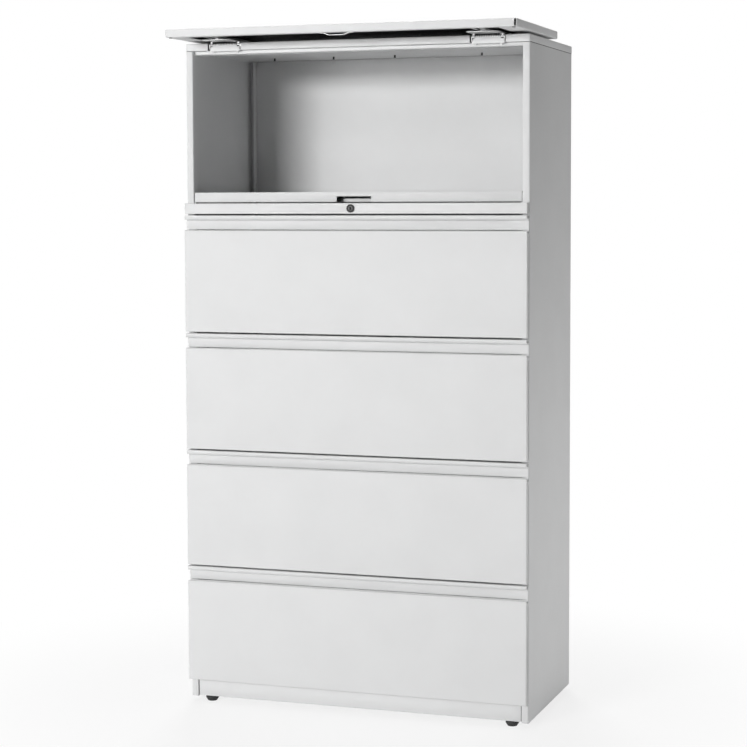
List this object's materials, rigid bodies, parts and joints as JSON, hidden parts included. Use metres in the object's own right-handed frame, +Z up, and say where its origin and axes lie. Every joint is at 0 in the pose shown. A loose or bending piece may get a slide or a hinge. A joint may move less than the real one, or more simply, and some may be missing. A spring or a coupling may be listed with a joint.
{
  "type": "lateral filing cabinet",
  "caption": "Steel lateral filing cabinet with full-width pull drawers, a locking rail and an open compartment with a roll-out shelf under a flip-up door.",
  "frame": {"origin": "on the floor, under the middle of the outline with the door open: centred across the width, 155 mm behind the front edges of the sides", "axes": "+Z up, +Y to the back, +X to the right seen from the front"},
  "size_m": [0.9144, 0.564, 1.7462],
  "materials": {
    "paint": "light grey powder coat, fine satin",
    "dark_paint": "dark matt liner",
    "zinc": "bright zinc plate",
    "spring_steel": "bright spring wire",
    "lock_metal": "dark satin chrome",
    "rubber": "black moulded rubber"
  },
  "bodies": {
    "case": {"left_side_panel": "paint", "right_side_panel": "paint", "back_panel": "paint", "top_panel": "paint", "top_front_channel": "paint", "base_pan": "paint", "toe_kick": "paint", "lock_rail": "paint", "lock_barrel": "lock_metal", "left_slide_rack": "zinc", "right_slide_rack": "zinc", "left_hinge_block": "zinc", "right_hinge_block": "zinc", "left_hinge_spring": "spring_steel", "right_hinge_spring": "spring_steel"},
    "door_carriages": {"left_door_carriage": "zinc", "right_door_carriage": "zinc"},
    "door": {"door_outer_pan": "paint", "door_inner_pan": "dark_paint", "left_door_track": "zinc", "right_door_track": "zinc", "door_pull": "zinc", "left_door_bumper": "rubber", "right_door_bumper": "rubber"},
    "shelf": {"roll_out_shelf": "paint"},
    "shelf_runners": {"shelf_left_runner": "zinc", "shelf_right_runner": "zinc"},
    "key_plug": {"lock_plug": "lock_metal", "lock_cam": "zinc"},
    "lock_link": {"lock_link": "zinc"},
    "lock_bar": {"lock_bar": "zinc"},
    "drawer_1": {"drawer_1_front": "paint", "drawer_1_tray": "paint", "drawer_1_front_file_bar": "zinc", "drawer_1_rear_file_bar": "zinc"},
    "drawer_1_runners": {"drawer_1_left_runner": "zinc", "drawer_1_right_runner": "zinc"},
    "drawer_2": {"drawer_2_front": "paint", "drawer_2_tray": "paint", "drawer_2_front_file_bar": "zinc", "drawer_2_rear_file_bar": "zinc"},
    "drawer_2_runners": {"drawer_2_left_runner": "zinc", "drawer_2_right_runner": "zinc"},
    "drawer_3": {"drawer_3_front": "paint", "drawer_3_tray": "paint", "drawer_3_front_file_bar": "zinc", "drawer_3_rear_file_bar": "zinc"},
    "drawer_3_runners": {"drawer_3_left_runner": "zinc", "drawer_3_right_runner": "zinc"},
    "drawer_4": {"drawer_4_front": "paint", "drawer_4_tray": "paint", "drawer_4_front_file_bar": "zinc", "drawer_4_rear_file_bar": "zinc"},
    "drawer_4_runners": {"drawer_4_left_runner": "zinc", "drawer_4_right_runner": "zinc"},
    "front_left_glide": {"front_left_glide": "rubber"},
    "front_right_glide": {"front_right_glide": "rubber"},
    "rear_left_glide": {"rear_left_glide": "rubber"},
    "rear_right_glide": {"rear_right_glide": "rubber"}
  },
  "joints": [
    {"name": "door_hinge", "type": "hinge", "parent": "case", "child": "door_carriages", "pos_m": [0, -0.1463, 1.7155], "axis": [1, 0, 0], "range_deg": [0, 90]},
    {"name": "door_slide", "type": "slide", "parent": "door_carriages", "child": "door", "axis": [0, -1, 0], "range_m": [0, 0.2676]},
    {"name": "shelf_slide", "type": "slide", "parent": "case", "child": "shelf", "axis": [0, 1, 0], "range_m": [-0.33, 0]},
    {"name": "shelf_runner_slide", "type": "slide", "parent": "case", "child": "shelf_runners", "axis": [0, 1, 0], "range_m": [-0.166, 0]},
    {"name": "drawer_1_slide", "type": "slide", "parent": "case", "child": "drawer_1", "axis": [0, -1, 0], "range_m": [0, 0.34]},
    {"name": "drawer_1_runner_slide", "type": "slide", "parent": "case", "child": "drawer_1_runners", "axis": [0, -1, 0], "range_m": [0, 0.171]},
    {"name": "drawer_2_slide", "type": "slide", "parent": "case", "child": "drawer_2", "axis": [0, -1, 0], "range_m": [0, 0.34]},
    {"name": "drawer_2_runner_slide", "type": "slide", "parent": "case", "child": "drawer_2_runners", "axis": [0, -1, 0], "range_m": [0, 0.171]},
    {"name": "drawer_3_slide", "type": "slide", "parent": "case", "child": "drawer_3", "axis": [0, -1, 0], "range_m": [0, 0.34]},
    {"name": "drawer_3_runner_slide", "type": "slide", "parent": "case", "child": "drawer_3_runners", "axis": [0, -1, 0], "range_m": [0, 0.171]},
    {"name": "drawer_4_slide", "type": "slide", "parent": "case", "child": "drawer_4", "axis": [0, -1, 0], "range_m": [0, 0.34]},
    {"name": "drawer_4_runner_slide", "type": "slide", "parent": "case", "child": "drawer_4_runners", "axis": [0, -1, 0], "range_m": [0, 0.171]},
    {"name": "lock_bar_lift", "type": "slide", "parent": "case", "child": "lock_bar", "axis": [0, 0, 1], "range_m": [0, 0.008]},
    {"name": "lock_turn", "type": "hinge", "parent": "case", "child": "key_plug", "pos_m": [0, -0.155, 1.2957], "axis": [0, -1, 0], "range_deg": [0, 91.5]},
    {"name": "lock_link_slide", "type": "slide", "parent": "case", "child": "lock_link", "axis": [1, 0, 0], "range_m": [0, 0.0131]},
    {"name": "front_left_glide_turn", "type": "hinge", "parent": "case", "child": "front_left_glide", "pos_m": [-0.4092, -0.13, 0], "axis": [0, 0, 1], "continuous": true},
    {"name": "front_right_glide_turn", "type": "hinge", "parent": "case", "child": "front_right_glide", "pos_m": [0.4092, -0.13, 0], "axis": [0, 0, 1], "continuous": true},
    {"name": "rear_left_glide_turn", "type": "hinge", "parent": "case", "child": "rear_left_glide", "pos_m": [-0.4092, 0.2555, 0], "axis": [0, 0, 1], "continuous": true},
    {"name": "rear_right_glide_turn", "type": "hinge", "parent": "case", "child": "rear_right_glide", "pos_m": [0.4092, 0.2555, 0], "axis": [0, 0, 1], "continuous": true}
  ],
  "couplings": [
    {"joint": "shelf_runner_slide", "follows": "shelf_slide", "ratio": 0.5},
    {"joint": "drawer_1_runner_slide", "follows": "drawer_1_slide", "ratio": 0.5},
    {"joint": "drawer_2_runner_slide", "follows": "drawer_2_slide", "ratio": 0.5},
    {"joint": "drawer_3_runner_slide", "follows": "drawer_3_slide", "ratio": 0.5},
    {"joint": "drawer_4_runner_slide", "follows": "drawer_4_slide", "ratio": 0.5},
    {"joint": "lock_turn", "follows": "lock_bar_lift", "rad_per_m": 196.35},
    {"joint": "lock_link_slide", "follows": "lock_bar_lift", "ratio": 1.591}
  ]
}
